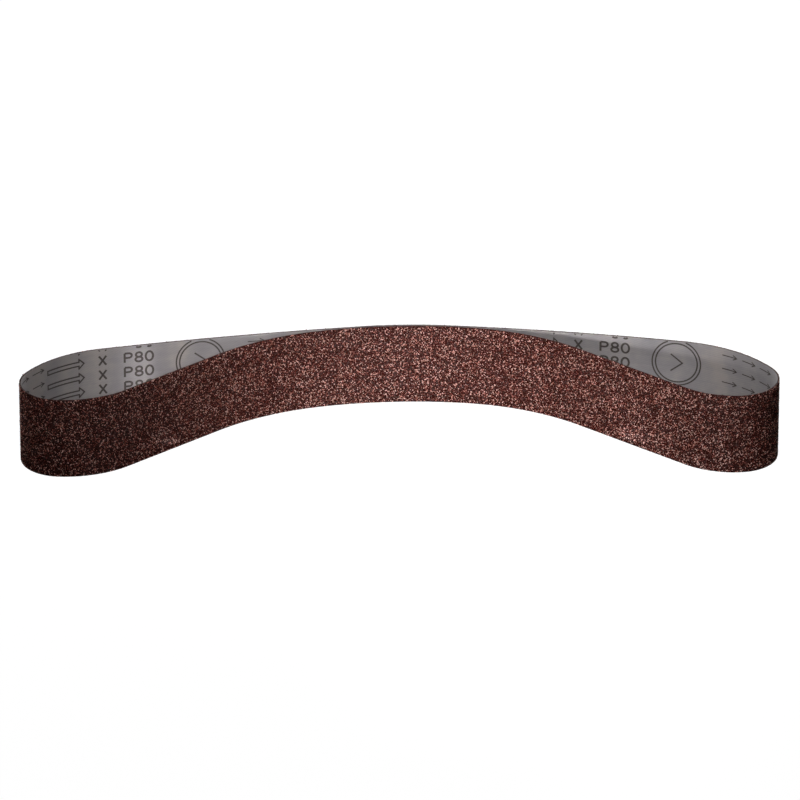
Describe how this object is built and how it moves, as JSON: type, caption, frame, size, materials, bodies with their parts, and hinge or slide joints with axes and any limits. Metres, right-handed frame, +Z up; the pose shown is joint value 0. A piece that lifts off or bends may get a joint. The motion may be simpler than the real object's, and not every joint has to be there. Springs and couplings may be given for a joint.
{
  "type": "sanding belt",
  "caption": "Endless cloth sanding belt, P80 aluminium oxide, 50 x 1020 mm, standing free on one edge as a crescent-shaped loop.",
  "frame": {"origin": "centre of the loop's box, on the level of the lower edge that the belt stands on", "axes": "+X along the belt's longest reach, +Y from the front run to the back run, +Z up across the belt's width"},
  "size_m": [0.4458, 0.0992, 0.05],
  "materials": {
    "backing_cloth": "matte grey filled twill cloth",
    "make_resin": "satin dark red-brown phenolic resin",
    "abrasive_grain": "rough brown aluminium oxide crystals",
    "size_resin": "satin red-brown phenolic resin",
    "splice_adhesive": "dull amber polyurethane adhesive",
    "splice_tape": "satin thread-reinforced film tape",
    "print_ink": "flat dark grey printing ink"
  },
  "bodies": {
    "root": {"backing_cloth": "backing_cloth", "make_coat": "make_resin", "abrasive_grain": "abrasive_grain", "size_coat": "size_resin", "splice_bond": "splice_adhesive", "splice_tape": "splice_tape"}
  },
  "joints": []
}
